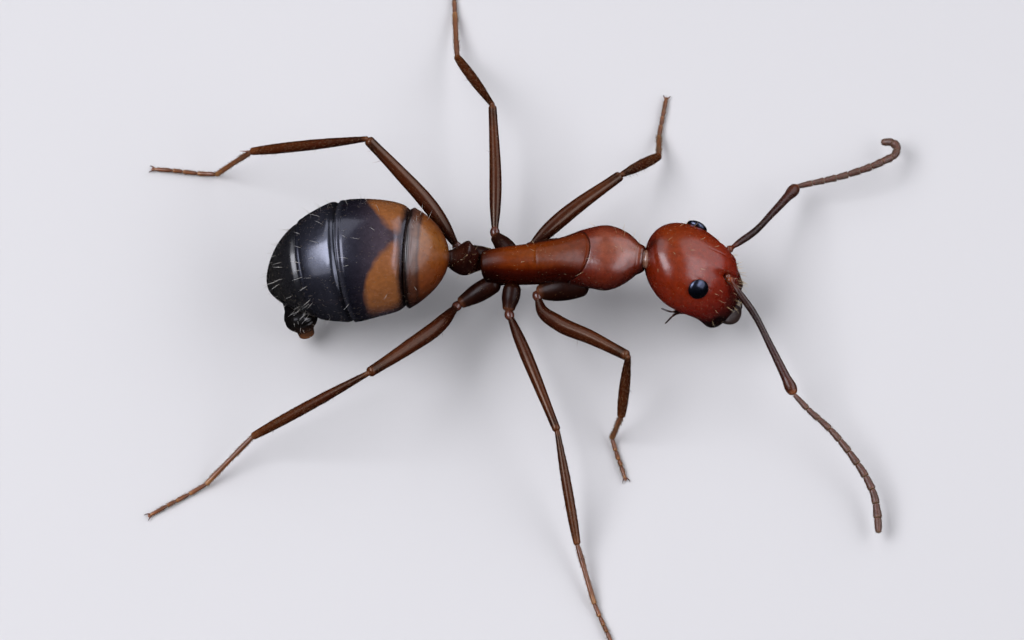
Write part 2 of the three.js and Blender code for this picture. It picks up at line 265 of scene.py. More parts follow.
# Insect cuticle has an IOR near 1.56. Its outermost layer is a thin clear wax over a pigmented one, so it is
# painted as a coloured base under a clear coat. The surface is sculptured in fine cells; 0.02 mm ones are too
# small to show, so they are drawn 0.04 mm across. Sizes are in millimetres.
CUTICLE_IOR, WAX_IOR = 1.56, 1.5
CELL, RELIEF_HEIGHT = 0.04, 0.004
CELL_SHARE = 0.35  # how much of the relief is cells rather than uneven ground
CLOUD, GRAIN, MOTTLE = 0.35, 0.16, 0.09  # drifting bands of colour, uneven ground, and spots of deeper tan
WANDER_ALONG, WANDER_ASIDE = 0.06, 0.12  # how far a band of colour strays from its place
SPREAD = {1: 0.3, 2: 0.7}  # between which values a noise mostly lies
DEEPEST_TAN, PALEST_TAN = 0.8, 1.15
SMOOTHEST, DULLEST = 0.8, 1.25  # how far the roughness strays, as shares of it
EVEN = {0: "#ffffff", 1: "#ffffff"}


def chitin(
    name, lengthwise, flank=EVEN, roughness=0.3, coat=0.6, relief=0.25, marks=None, cell=CELL, polish=0.18,
    shine=0.5, gleam="#ffffff",
):
    """Cuticle coloured by the lengthwise stops, and by the flank stops with painted shade from back to belly.

    marks(tree, colour, along, aside) can paint over that. coat is how much wax lies on it and polish how
    rough the wax is. shine and gleam are how strongly, and in what tint, the surface under it mirrors light.
    """
    material = bpy.data.materials.new(name)
    material.use_nodes = True
    tree = material.node_tree
    tree.nodes.clear()
    place = add(tree, "TexCoord", out="Object")
    cloud, fine, mottle = (
        add(tree, "TexNoise", {"Vector": place, "Scale": per_mm(size), "Detail": detail})
        for size, detail in ((CLOUD, 4.0), (GRAIN, 5.0), (MOTTLE, 3.0))
    )
    wander = add(tree, "Math", {0: cloud, 1: -0.5}, operation="ADD")
    along, aside = (
        add(
            tree, "Math", {0: wander, 1: stray, 2: add(tree, "Attribute", out="Fac", attribute_name=label)},
            operation="MULTIPLY_ADD",
        )
        for label, stray in (("along", WANDER_ALONG), ("aside", WANDER_ASIDE))
    )
    multiply = {"data_type": "RGBA", "blend_type": "MULTIPLY", "out": 2}
    base = add(tree, "ValToRGB", {"Fac": along}, stops=lengthwise)
    # the flank stops darken the underside: painted shade
    belly_shade = add(tree, "ValToRGB", {"Fac": aside}, stops=flank)
    colour = add(tree, "Mix", {"Factor": 1.0, 6: base, 7: belly_shade}, **multiply)
    if marks:
        colour = marks(tree, colour, along, aside)
    shade = add(tree, "MapRange", {0: mottle, **SPREAD, 3: DEEPEST_TAN, 4: PALEST_TAN})
    colour = add(tree, "Mix", {"Factor": 1.0, 6: colour, 7: shade}, **multiply)
    cells = add(tree, "TexVoronoi", {"Vector": place, "Scale": per_mm(cell)}, feature="SMOOTH_F1")
    ground = add(tree, "Math", {0: cells, 1: CELL_SHARE, 2: fine}, operation="MULTIPLY_ADD")
    bump = add(tree, "Bump", {"Height": ground, "Strength": relief, "Distance": RELIEF_HEIGHT * MM})
    rough = add(tree, "MapRange", {0: fine, **SPREAD, 3: roughness * SMOOTHEST, 4: roughness * DULLEST})
    shader = add(tree, "BsdfPrincipled", {
        "Base Color": colour, "Roughness": rough, "IOR": CUTICLE_IOR, "Normal": bump,
        "Coat Weight": coat, "Coat Roughness": polish, "Coat IOR": WAX_IOR, "Coat Normal": bump,
        "Specular IOR Level": shine, "Specular Tint": linear(gleam),
    })
    add(tree, "OutputMaterial", {"Surface": shader})
    return material


# Amber-brown chitin, painted darker down the flanks as shade. Only the pronotum is waxed and gives a broad
# soft light. Behind it the fine cells scatter the light, and the back keeps its deep orange-brown.
TRUNK_BELLY_SHADE = {
    0: "#ffffff", 0.2: "#ecd2c6", 0.28: "#9c6454", 0.35: "#7c483c", 0.5: "#6c4036",
    0.7: "#50302a", 1: "#38201c",
}
pronotum_chitin = chitin(
    "chitin_amber_brown_pronotum", {
        0: "#5a2812", 0.08: "#86462e", 0.3: "#925038", 0.75: "#8a4830", 0.985: "#702a0c", 1: "#3a1a0e",
    }, {
        0: "#ffffff", 0.14: "#f6e0d4", 0.28: "#cc8c64", 0.45: "#985a40", 0.65: "#603a30", 1: "#38201c",
    }, roughness=0.27, coat=0.65, relief=0.5, polish=0.17,
)
mesonotum_chitin = chitin(
    "chitin_amber_brown_mesonotum",
    {0: "#40200f", 0.02: "#6a2c10", 0.3: "#6c3010", 0.7: "#703208", 1: "#703206"},
    TRUNK_BELLY_SHADE, roughness=0.27, coat=0.0, relief=0.6, shine=0.17,
)
# Its stops from 0.8 on darken the rear slope down to the waist: painted shade.
propodeum_chitin = chitin(
    "chitin_amber_brown_propodeum",
    {0: "#763608", 0.5: "#743206", 0.8: "#4a1c08", 1: "#220d07"},
    TRUNK_BELLY_SHADE, roughness=0.27, coat=0.0, relief=0.6, shine=0.1,
)


def trunk_aside(x):
    """How far to the left the trunk's middle line lies."""
    front = max((x - BEND_FROM) / BEND_LENGTH, 0)
    rear = min(max((STEP_FROM - x) / STEP_LENGTH, 0), 1)
    return -FRONT_ASIDE * front**2 - REAR_ASIDE * rear


def sections(table):
    """Reads half width, height and depth at each share of the way through a table of them."""
    first, last = table[0][0], table[-1][0]
    return smooth([(first - row[0]) / (first - last) for row in table], [row[2:] for row in table])


trunk_axis = path([(x, trunk_aside(x), z) for x, z, *_ in TRUNK])
trunk_rows = sections(TRUNK)


def arch(turn):
    """How far forward a suture bowed by 1 runs: by 1 on the back, and a little to the rear on the belly."""
    return np.maximum(np.cos(turn), 0.3 * np.cos(turn))


def plate(begin, close, bows, depths, blunt, carve, rings=150):
    """One length of the trunk between two sutures, each bowed forward over the back and sunk by its depth."""

    def bend(share, turn):
        return begin + (close - begin) * share - (bows[0] + (bows[1] - bows[0]) * share) * arch(turn)

    def cut(points, at, turn):
        lean = arch(turn)
        share = (at - begin + bows[0] * lean) / (close - begin - (bows[1] - bows[0]) * lean)
        long = (close - begin) * trunk_axis[1]
        front, rear = near(share * long, SUTURE_WIDTH), near((1 - share) * long, SUTURE_WIDTH)
        return carve(points, share, turn) - depths[0] * front - depths[1] * rear

    return loft(trunk_axis, trunk_rows, rings, 160, blunt, bend=bend, carve=cut)


def on_both(turn, angle, width):
    """Near a line that runs lengthwise down each flank, that many degrees from the back."""
    return near(np.abs(turn) - np.radians(angle), math.radians(width))


def pronotum_form(points, share, turn):
    """A raised collar, the lower edge along each flank, and the breast sunk below it."""
    collar = 0.008 * near(share - 0.04, 0.03) - 0.006 * near(share - 0.1, 0.03)
    margin = -0.022 * on_both(turn, MARGIN, 4) * (share > 0.15)
    breast = -0.03 * (np.abs(turn) > math.radians(MARGIN)) * (share > 0.3)
    return collar + margin + breast


def mesonotum_form(points, share, turn):
    """The edges of the shield on the back, a slanting groove on each flank, and the breathing holes."""
    place, angle = MESONOTUM_HOLE
    shield = -0.012 * on_both(turn, 62 + 14 * share, 3) * (share < 0.8)
    flank = -0.02 * near(share - 0.52 - 0.25 * (np.abs(turn) - 1.6), 0.018) * (np.abs(turn) > 1.2)
    hole = -0.03 * near(share - place, 0.03) * on_both(turn, angle, 5)
    return shield + flank + hole


def propodeum_form(points, share, turn):
    """The breathing holes in their mounds, the swelling of the gland, and a groove low on each flank."""
    place, angle = PROPODEUM_HOLE
    mound = 0.014 * near(share - place, 0.07) * on_both(turn, angle, 11)
    hole = -0.034 * near(share - place, 0.035) * on_both(turn, angle, 7)
    gland = 0.03 * near(share - GLAND[0], 0.12) * on_both(turn, GLAND[1], 12)
    flank = -0.018 * on_both(turn, 108 - 20 * share, 3.5) * (share < 0.9)
    return mound + hole + gland + flank


pronotum = plate(COLLAR, FIRST_SUTURE, (0, FIRST_BOW), (0, FIRST_DEPTH), (0.05, 0), pronotum_form, rings=190)
mesonotum = plate(
    FIRST_SUTURE, SECOND_SUTURE, (FIRST_BOW, SECOND_BOW), (FIRST_DEPTH, SECOND_DEPTH), (0, 0), mesonotum_form,
)
propodeum = plate(SECOND_SUTURE, 1, (SECOND_BOW, 0), (SECOND_DEPTH, 0), (0, 0.3), propodeum_form)
piece("pronotum_plate", [pronotum], pronotum_chitin, ["prothorax"], "trunk_shell")
piece("mesonotum_plate", [mesonotum], mesonotum_chitin, ["mesothorax"], "trunk_shell")
piece("propodeum_plate", [propodeum], propodeum_chitin, ["propodeum"], "trunk_shell")

# ---------------------------------------------------------------- waist
# The waist is a short stalk with one upright scale, a hard knob that lets the gaster swing. Its chitin is
# tanned almost black, and both of its ends are sunk in their neighbours.
WAIST_ASIDE = 0.07
WAIST = [
    (-0.45, 1.68, 0.13, 0.13, 0.13),
    (-0.66, 1.7, 0.18, 0.19, 0.16),
    (-0.82, 1.73, 0.27, 0.46, 0.21),
    (-0.98, 1.76, 0.31, 0.66, 0.23),
    (-1.12, 1.8, 0.26, 0.52, 0.2),
    (-1.25, 1.86, 0.18, 0.2, 0.17),
    (-1.4, 1.93, 0.14, 0.13, 0.13),
]
# Black-brown chitin with little wax, so it gives small dull lights.
# Darker towards the belly: painted shade, shared by waist, feelers and hips.
DARK_BELLY_SHADE = {0: "#ffffff", 0.6: "#a89088", 1: "#6a5048"}
waist_chitin = chitin(
    "chitin_black_brown_waist", {0: "#5a2a14", 0.35: "#34120a", 0.7: "#2c0f08", 1: "#4a2210"},
    DARK_BELLY_SHADE, roughness=0.28, coat=0.1, shine=0.25,
)
waist = loft(path([(x, WAIST_ASIDE, z) for x, z, *_ in WAIST]), sections(WAIST), 90, 90)
piece("waist_scale", [waist], waist_chitin, ["petiole"], "waist_shell")

# ---------------------------------------------------------------- gaster
# The gaster is the swollen hind body: rings of chitin that overlap like roof tiles, each a back plate and a
# belly plate. Amber in front with a dark saddle, it darkens to blue-black. Each hind rim is thin and pale.
# Painted shade darkens the amber ring towards its belly. Painted shadow darkens the end of each rim and the
# front of the next ring, which lies under it; the slate ring's front is partly its own dark base.
GASTER_WIDEST, GASTER_BACK, GASTER_RADIUS, GASTER_TAPER = -3.12, -4.94, 1.225, 0.3
gaster_axis = path([
    (GASTER_FRONT, 0.07, 2.02), (-2.2, 0.06, 1.97), (GASTER_WIDEST, 0.02, 1.89), (-4.1, -0.14, 1.67),
    (GASTER_BACK, -0.33, 1.33),
])
RIMS = [0, 0.212, 0.552, 0.755, 1]
RIM_BOW, RIM_YAW = 0.006, 0.03  # how far the back and the left end of a rim lie forward of its middle
# How far each ring bulges at its front, middle and rim, and how deep and long it dips under the one before.
SWELL = [(0, 0.02, 0.045), (0.02, 0, 0.035), (0.05, 0.015, 0.015), (0, 0, 0)]
TUCK, TUCK_LENGTH = (0, 0.065, 0.075, 0.04), (1, 0.12, 0.075, 0.06)
RIM_STEP, RIM_WIDTH = 0.05, 0.02
RIM_GROOVE, RIM_GROOVE_DEPTH = 0.1, 0.006  # how far before the rim a faint groove runs
SEAM = 112  # degrees from the back, where back plate and belly plate meet
SEAM_DEPTH, BELLY_DROP = 0.012, 0.02
SADDLE_ROLL = 0.11  # radians by which the dark saddle sits to the right of the back


def step_at(distance, softness):
    """A soft step: 0 well before a line and 1 well past it."""
    return 1 / (1 + np.exp(-distance / softness))


def gaster_size(share):
    """The gaster's round section: half an ellipse before its widest place, and a fuller one behind."""
    x = gaster_axis[0](share)[..., 0]
    away = np.abs(x - GASTER_WIDEST) / np.where(
        x > GASTER_WIDEST, GASTER_FRONT - GASTER_WIDEST, GASTER_WIDEST - GASTER_BACK
    )
    taper = np.where(x > GASTER_WIDEST, 1, 1 - GASTER_TAPER * away**4)
    radius = GASTER_RADIUS * taper * np.sqrt(np.maximum(1 - away**2, 0))
    return np.stack([radius, radius, radius], -1)


def gaster_plate(i, rings):
    """One ring of the gaster, from under the rim of the one before to its own rim."""
    begin, close = RIMS[i], RIMS[i + 1]
    first, last = i == 0, i == len(RIMS) - 2
    swell = smooth([0, 0.5, 1], [[lift] for lift in SWELL[i]])

    def shift(turn):
        return RIM_BOW * (np.cos(turn) - 0.3) + RIM_YAW * np.sin(turn)

    def bend(share, turn):
        # The mesh is closest where the first and last rings draw in to their poles.
        if first:
            share = share**2
        if last:
            share = 1 - (1 - share) ** 2
        drift = shift(turn) * (share if first else 1 - share if last else 1)
        return begin + (close - begin) * share + drift

    def carve(points, at, turn):
        from_front = (at - begin - shift(turn)) * gaster_axis[1]
        from_back = (close + shift(turn) - at) * gaster_axis[1]
        lift = swell(np.clip((at - begin) / (close - begin), 0, 1))[..., 0]
        if not first:
            lift -= TUCK[i] * near(from_front, TUCK_LENGTH[i])
        if not last:
            lift -= RIM_STEP * near(from_back, RIM_WIDTH)
            lift -= RIM_GROOVE_DEPTH * near(from_back - RIM_GROOVE, 0.025)
        past_seam = np.abs(turn) - math.radians(SEAM)
        return lift - BELLY_DROP * step_at(past_seam, 0.02) - SEAM_DEPTH * near(past_seam, 0.03)

    return loft(gaster_axis, gaster_size, rings, 220, bend=bend, carve=carve)


def patch(tree, colour, edges, code):
    """Paints a patch in another colour: the saddle's amber, and painted shade at the cheek corners.
    Each of its edges is a value, and where it begins and is full there.
    """
    amount = 1.0
    for value, begin, full in edges:
        edge = add(tree, "MapRange", {0: value, 1: begin, 2: full})
        amount = add(tree, "Math", {0: amount, 1: edge}, operation="MULTIPLY")
    return add(tree, "Mix", {"Factor": amount, 6: colour, 7: linear(code)}, data_type="RGBA", out=2)


def saddle(tree, colour, along, aside):
    """Amber patches beside the dark saddle, which starts as a point on the back and spreads to the rear."""
    length = add(tree, "MapRange", {0: along, 1: 0.08, 2: 0.68})
    square = add(tree, "Math", {0: length, 1: 2.0}, operation="POWER")
    reach = add(tree, "Math", {0: square, 1: 0.3, 2: 0.025}, operation="MULTIPLY_ADD")
    outside = add(tree, "Math", {0: aside, 1: reach}, operation="SUBTRACT")
    return patch(tree, colour, [
        (outside, -0.02, 0.035), (aside, 0.52, 0.42), (along, 0.68, 0.56), (along, 0.03, 0.12),
    ], "#935a2e")


# Four tans of one chitin: amber, slate brown with amber patches, blue-black and black. The dark rings have
# the smoothest wax and mirror the light with a blue gleam.
# Painted shade: the amber ring's flank stops and its dark last stops, and the dark first stops of the slate
# and blue-black rings, are the shadow of each rim on the ring behind it.
gaster_chitins = [
    chitin(
        "chitin_amber_gaster", {
            0: "#6e380e", 0.35: "#965618", 0.8: "#985c22", 0.845: "#4e2c1a", 0.88: "#74503a",
            0.95: "#5c4036", 0.975: "#1c100c",
        }, {0: "#ffffff", 0.35: "#d8b090", 0.6: "#704832", 1: "#3c2a24"}, roughness=0.3, coat=0.7,
    ),
    chitin(
        "chitin_slate_gaster_with_amber_patches", {
            0: "#1c0e08", 0.08: "#33221f", 0.3: "#463a40", 0.7: "#201c24", 0.9: "#12121a",
            1: "#38383e",
        }, roughness=0.24, coat=0.6, polish=0.13, gleam="#dfe2ff", marks=saddle,
    ),
    chitin(
        "chitin_blue_black_gaster", {
            0: "#0a0a0e", 0.3: "#28282f", 0.93: "#1c1c22", 1: "#1c1c20",
        }, roughness=0.22, coat=1.0, polish=0.14, shine=0.8, gleam="#d8e0ff",
    ),
    chitin(
        "chitin_black_gaster", {0: "#1a1a1e", 0.4: "#211f1e", 1: "#141210"}, roughness=0.27, coat=0.7,
    ),
]
gaster_slots = ["gaster_amber", "gaster_slate", "gaster_black", "gaster_black"]
gaster_rings = [gaster_plate(i, rings) for i, rings in enumerate((170, 190, 140, 120))]
gaster_rings[1]["roll"] = SADDLE_ROLL
for i, (skin, finish, slot) in enumerate(zip(gaster_rings, gaster_chitins, gaster_slots)):
    piece(f"gaster_ring_{i + 1}", [skin], finish, [f"gaster_plate_{i + 1}"], slot)

# The last ring is curled down and to the right, and narrows to the acid pore in a fringe of hairs.
TIP = [(-4.4, -0.42, 1.16), (-4.34, -0.6, 0.9), (-4.24, -0.77, 0.6), (-4.16, -0.93, 0.36)]


def girths(shares, radii):
    """A round section whose radius runs smoothly through these values."""
    return smooth(shares, np.array(radii)[:, None].repeat(3, 1))


tip_size = girths([0, 0.2, 0.3, 0.42, 0.55, 0.67, 0.8, 1], [0.3, 0.275, 0.28, 0.33, 0.345, 0.3, 0.2, 0.15])
# Black chitin under the smoothest wax, with small hard lights. It pales to brown round the pore.
tip_chitin = chitin(
    "chitin_black_gaster_tip", {0: "#0c0b0c", 0.55: "#14100e", 0.75: "#3c2416", 1: "#7e5030"},
    roughness=0.18, coat=1.0, polish=0.08,
)
gaster_end = loft(
    path(TIP), tip_size, 90, 80, blunt=(0, 0.06), up=(-1, 0, 0.2),
    carve=lambda points, at, turn: -0.014 * near(at - 0.52, 0.03) - 0.01 * near(at - 0.82, 0.03),
)
piece("gaster_end", [gaster_end], tip_chitin, ["gaster_tip"], "gaster_black")

# ---------------------------------------------------------------- head
# The head is one hard capsule packed with jaw muscle, heart-shaped, hung from the trunk on a thin neck. It is
# polished mahogany chitin with a face shield in front. Painted shade makes it redder and darker down the
# cheeks and sides, near black at the nape, and almost black towards the mouth, over the mouth parts' own
# darker chitin.
HEAD_LENGTH, HEAD_WIDTH, HEAD_HEIGHT = 2.48, 1.96, 1.64
MOUTH = 1.1  # where the face shield ends and the jaws show, from the middle of the head
HEAD_ENDS = (1.25, 0.25)  # how long the rounded back and the rounded mouth end are
HEAD_PLACE = np.array([3.68, -0.1, 1.56])
HEAD_YAW, HEAD_PITCH, HEAD_ROLL = -14.5, 47.5, -20
# From the back of the head to the mouth: shares of half the width, half the height above and half below.
CAPSULE = [
    (1.02, 0.78, 0.84), (1.03, 0.86, 0.98), (1.015, 0.905, 1), (0.993, 0.945, 0.975), (0.945, 0.945, 0.905),
    (0.865, 0.87, 0.8), (0.765, 0.7, 0.7), (0.66, 0.48, 0.61),
]
SIDES = {"left": 1, "right": -1}  # the ant's sides, and which way y runs on them
# Places in the head's own frame, on its left side: x to the mouth, y to the side, z out of the face.
EYE_PLACE = np.array([-0.29, 0.835, 0.35])
EYE_LONG, EYE_HIGH, EYE_DEEP, EYE_TILT = 0.228, 0.213, 0.108, 62
SOCKET = np.array([0.25, 0.36, 0.7])  # where the feeler is hinged
CHEEK, CHEEK_SWELL = np.array([0.92, 0.54, -0.26]), 0.11
SHIELD_SIDE = [(0.46, 0.14), (0.5, 0.26), (0.62, 0.36), (0.8, 0.4), (1.02, 0.44)]
RIDGE = ([-0.45, -0.3, -0.1, 0.1, 0.28, 0.42, 0.52], [0.52, 0.47, 0.39, 0.31, 0.255, 0.22, 0.17])
# Lines on the middle of the face: their points, how wide they are and how high they stand.
FACE_LINES = [
    ([(-0.3, 0), (0.42, 0)], 0.014, -0.01),  # the furrow between the two frontal ridges
    ([(0.56, 0), (1.12, 0)], 0.05, 0.02),  # the keel of the face shield
    ([(0.46, -0.12), (0.42, 0), (0.46, 0.12)], 0.02, -0.02),  # the shield's upper edge
]

head_turn = np.array(
    Matrix.Rotation(math.radians(HEAD_YAW), 3, "Z")
    @ Matrix.Rotation(math.radians(HEAD_PITCH), 3, "Y")
    @ Matrix.Rotation(math.radians(HEAD_ROLL), 3, "X")
)


def carried(skin, turn, place):
    """Turns a skin and carries it to a place."""
    for key in ("points", "poles"):
        skin[key] = skin[key] @ turn.T + place
    skin["normals"] = skin["normals"] @ turn.T
    return skin


def on_head(skin):
    """Carries a skin from the head's own frame to the ant's."""
    return carried(skin, head_turn, HEAD_PLACE)


def stroke(points, line, width):
    """How near points of the face are to a line drawn on it, seen from the front."""
    best = np.full(points.shape[:-1], np.inf)
    for start, stop in zip(np.array(line[:-1], float), np.array(line[1:], float)):
        run = stop - start
        share = np.clip((points[..., :2] - start) @ run / (run @ run), 0, 1)
        best = np.minimum(best, np.linalg.norm(points[..., :2] - start - share[..., None] * run, axis=-1))
    return near(best, width) * (points[..., 2] > 0)


def face_form(points, at, turn):
    """The head's relief: lines, ridges and pits of the face, eye rims, cheeks, throat and nape."""
    x, y, z = np.moveaxis(points, -1, 0)
    front = z > 0
    lift = 0.03 * near(x - 0.95, 0.16) * near(y, 0.36) * (z > -0.1)
    for line, width, height in FACE_LINES:
        lift += height * stroke(points, line, width)
    from_ridge = np.abs(y) - np.interp(x, *RIDGE)
    between = step_at(-from_ridge, 0.016) * front
    length = step_at(x + 0.12, 0.09) * step_at(0.5 - x, 0.03)
    lift += length * (0.045 * between + 0.02 * near(from_ridge + 0.02, 0.024) * front)
    lift += 0.03 * near(x - 0.3, 0.4) * near(y, 0.26) * front
    lift -= 0.05 * near(from_ridge - 0.07, 0.05) * near(x - 0.16, 0.26) * front
    lift -= 0.05 * near(np.hypot(x - SOCKET[0], np.abs(y) - SOCKET[1]), 0.09) * front
    for left in SIDES.values():
        mirror = (1, left, 1)
        lift -= 0.018 * stroke(points, [(x, left * y) for x, y in SHIELD_SIDE], 0.02)
        rim = np.linalg.norm((points - EYE_PLACE * mirror) / (1, 0.8, 0.9), axis=-1)
        lift -= 0.018 * near(rim - 0.225, 0.03)
        lift += CHEEK_SWELL * near(np.linalg.norm(points - CHEEK * mirror, axis=-1), 0.25)
    throat = -0.02 * near(y, 0.02) * (z < 0) * (x < 0.7)
    hollow = -0.03 * near(y, 0.28) * (z < 0) * near(x - 0.75, 0.25)
    nape = -0.05 * near(y, 0.35) * near(at, 0.1) * (z > -0.2)
    return lift + throat + hollow + nape


head_shares = smooth(np.linspace(0, 1, len(CAPSULE)), CAPSULE)
half_head = np.array([HEAD_WIDTH, HEAD_HEIGHT, HEAD_HEIGHT]) / 2
capsule = loft(
    path([(-HEAD_LENGTH / 2, 0, 0), (MOUTH, 0, 0)]), lambda share: head_shares(share) * half_head,
    250, 350, HEAD_ENDS, carve=face_form,
)


def cheeks(tree, colour, along, aside):
    """The front corners of the cheeks, where the jaws hinge, are painted almost black as shade under the
    head.
    """
    return patch(tree, colour, [(along, 0.77, 0.84), (aside, 0.4, 0.47)], "#1a0704")


# Mahogany chitin with a thin wax over fine cells: its lights are broad and soft, and stay red-brown.
# Painted shade: the flank stops redden and darken the sides towards the underside, the first stops darken the
# nape, and the stops from 0.82 on darken towards the mouth, over its own darker chitin there.
head_chitin = chitin(
    "chitin_mahogany_head", {
        0: "#4a1a0c", 0.01: "#6c260a", 0.04: "#803006", 0.35: "#8a2d04", 0.55: "#882304", 0.7: "#741803",
        0.82: "#4c0c03", 0.9: "#2a0b06", 0.965: "#180806", 0.974: "#6a4836", 0.983: "#2a140c", 1: "#180a08",
    }, {0: "#ffffff", 0.35: "#fae4dc", 0.6: "#ecbcb0", 0.85: "#c08c7c", 1: "#946458"},
    roughness=0.28, coat=0.5, relief=0.6, marks=cheeks, polish=0.17, shine=0.4,
)
piece("head_capsule", [on_head(capsule)], head_chitin, ["head"], "head_shell")

# Each compound eye is a low dome of hexagonal lenses, clear cuticle over black pigment. The lenses are
# 0.02 mm across, each slightly domed, so the eye shines softly instead of like glass.
LENS = 0.022
eye_lenses = chitin(
    "clear_lens_cuticle_over_black_pigment", {0: "#040509", 1: "#040509"}, roughness=0.2, coat=0.7,
    relief=0.3, cell=LENS, polish=0.2, shine=1.0, gleam="#a8bcf4",
)
for side, left in SIDES.items():
    tilt = np.array(Matrix.Rotation(-left * math.radians(EYE_TILT), 3, "X"))
    dome = loft(
        path([(-EYE_LONG, 0, 0), (EYE_LONG, 0, 0)]),
        lambda share: np.ones(share.shape + (1,)) * (EYE_HIGH, EYE_DEEP, EYE_DEEP),
        8, 72, (EYE_LONG * 0.98, EYE_LONG * 0.98),
    )
    dome = on_head(carried(dome, tilt, EYE_PLACE * (1, left, 1)))
    piece(f"eye_dome_{side}", [dome], eye_lenses, [f"eye_{side}"], "eye_lens")

# The mandibles are two triangular blades of the hardest, darkest chitin, hinged at the cheeks. They close
# over each other under the face shield, and their cutting edges carry a row of teeth.
JAW_SPINE = [(0.88, 0.38, -0.12), (1.12, 0.34, -0.04), (1.3, 0.18, 0.03), (1.45, -0.05, 0.05)]
JAW_EDGE = [(1.06, 0.1, 0.0), (1.4, -0.03, 0.045)]  # the cutting edge, from its inner corner to the point
RIGHT_JAW_DROP = 0.03  # the right blade closes under the left one
TEETH, TOOTH, TOOTH_GROWTH = 6, 0.085, 0.05  # how many, how long the first is, how much longer the last
GROOVES, GROOVE_DEPTH = 23, 0.0012
jaw_size = smooth([0, 0.3, 0.6, 0.85, 1], [
    (0.17, 0.11, 0.13), (0.22, 0.105, 0.13), (0.2, 0.09, 0.1), (0.1, 0.06, 0.07), (0.03, 0.025, 0.03),
])
# Black-brown chitin with scored cells and little wax, so it is the dullest part of the head.
jaw_chitin = chitin(
    "chitin_black_jaw", {0: "#2a120a", 0.25: "#3e2e28", 0.6: "#34241e", 1: "#120907"},
    roughness=0.36, coat=0.2, relief=1.0, polish=0.3,
)


for side, left in SIDES.items():
    drop = -RIGHT_JAW_DROP if side == "right" else 0.0
    spine, (inner_corner, far_corner) = (
        [np.array([x, left * y, z + drop]) for x, y, z in line] for line in (JAW_SPINE, JAW_EDGE)
    )
    blade = loft(
        path(spine), jaw_size, 110, 120, (0.08, 0.03),
        carve=lambda points, at, turn: GROOVE_DEPTH * np.cos(turn * GROOVES) * near(at - 0.5, 0.3),
    )
    teeth = []
    for share in np.linspace(0, 1, TEETH):
        root = inner_corner + share * (far_corner - inner_corner)
        way = unit(np.array([-0.3 + 0.5 * share, -left, 0.0]))
        tooth = path([root, root + (TOOTH + TOOTH_GROWTH * share) * way])
        taper = smooth([0, 0.5, 1], [(0.038, 0.038, 0.038), (0.026, 0.024, 0.024), (0.006, 0.006, 0.006)])
        teeth.append(loft(tooth, taper, 12, 20, (0.01, 0.008)))
    skins = [on_head(skin) for skin in (blade, *teeth)]
    piece(f"mandible_{side}", skins, jaw_chitin, [f"jaw_{side}"], "jaw_shell")

# The palps are four jointed tasters under the mouth, thin tubes of dark brown chitin that the ant trails
# over its food. They are thin-walled and hardly waxed, so they look satin.
PALPS = [
    [(0.86, -0.13, -0.56), (0.6, -0.26, -0.7), (0.36, -0.41, -0.78), (0.21, -0.68, -0.95)],
    [(0.86, -0.06, -0.56), (0.45, -0.28, -0.72), (0.2, -0.46, -0.78), (0.06, -0.38, -0.92)],
    [(0.86, 0.13, -0.56), (0.6, 0.28, -0.72), (0.34, 0.4, -0.84), (0.16, 0.48, -1.0)],
    [(0.86, 0.06, -0.56), (0.5, 0.16, -0.74), (0.28, 0.22, -0.84), (0.12, 0.16, -0.94)],
]
PALP_SEGMENTS = 4
palp_chitin = chitin(
    "chitin_dark_brown_palp", {0: "#3a1c10", 0.9: "#2a1610", 1: "#6a4630"}, roughness=0.35,
)
palp_size = girths([0, 0.7, 1], [0.03, 0.024, 0.013])


def jointed(axis, joints, size, rings, sides, waist=0.72):
    """A row of segments strung on one line. Each is narrow where it plugs into the one before."""
    read, length = axis
    form = smooth([0, 0.16, 0.5, 0.86, 1], np.array([waist, 0.92, 0.98, 1.05, 0.96])[:, None])
    skins = []
    for begin, close in zip(joints[:-1], joints[1:]):
        part = path(read(np.linspace(begin, close, 5)))

        def girth(share, begin=begin, close=close):
            return form(share) * size(begin + (close - begin) * share)

        end = min(part[1] * 0.12, 0.02)
        skins.append(loft(part, girth, rings, sides, (end, end)))
    return skins


palp_skins = []
for points in PALPS:
    segments = jointed(path(points), np.linspace(0, 1, PALP_SEGMENTS + 1), palp_size, 14, 14)
    palp_skins += [on_head(skin) for skin in segments]
piece("palps", palp_skins, palp_chitin, [], "jaw_shell")

# The neck is a short tube of pale, pliant skin between the trunk and the head. It is bare of hard chitin and
# shines as if wet, in rings where it folds.
NECK = [(2.5, -0.04, 2.1), (2.75, -0.08, 2.12), (3.06, -0.1, 2.12)]
FOLDING, FOLD_HEIGHT = 44, 0.006  # radians of ripple over the neck's length, and how high its rings are
neck_size = smooth([0, 0.45, 1], [(0.22, 0.19, 0.2), (0.19, 0.17, 0.18), (0.16, 0.15, 0.15)])
neck_skin = chitin(
    "pliant_pale_neck_skin", {
        0: "#3a1a0c", 0.3: "#6a3a20", 0.5: "#b88c74", 0.75: "#7a4a30", 1: "#3a1a0c",
    }, roughness=0.2,
)
neck = loft(
    path(NECK), neck_size, 40, 48,
    carve=lambda points, at, turn: FOLD_HEIGHT * np.cos(at * FOLDING),
)
piece("neck", [neck], neck_skin, [], "trunk_shell")

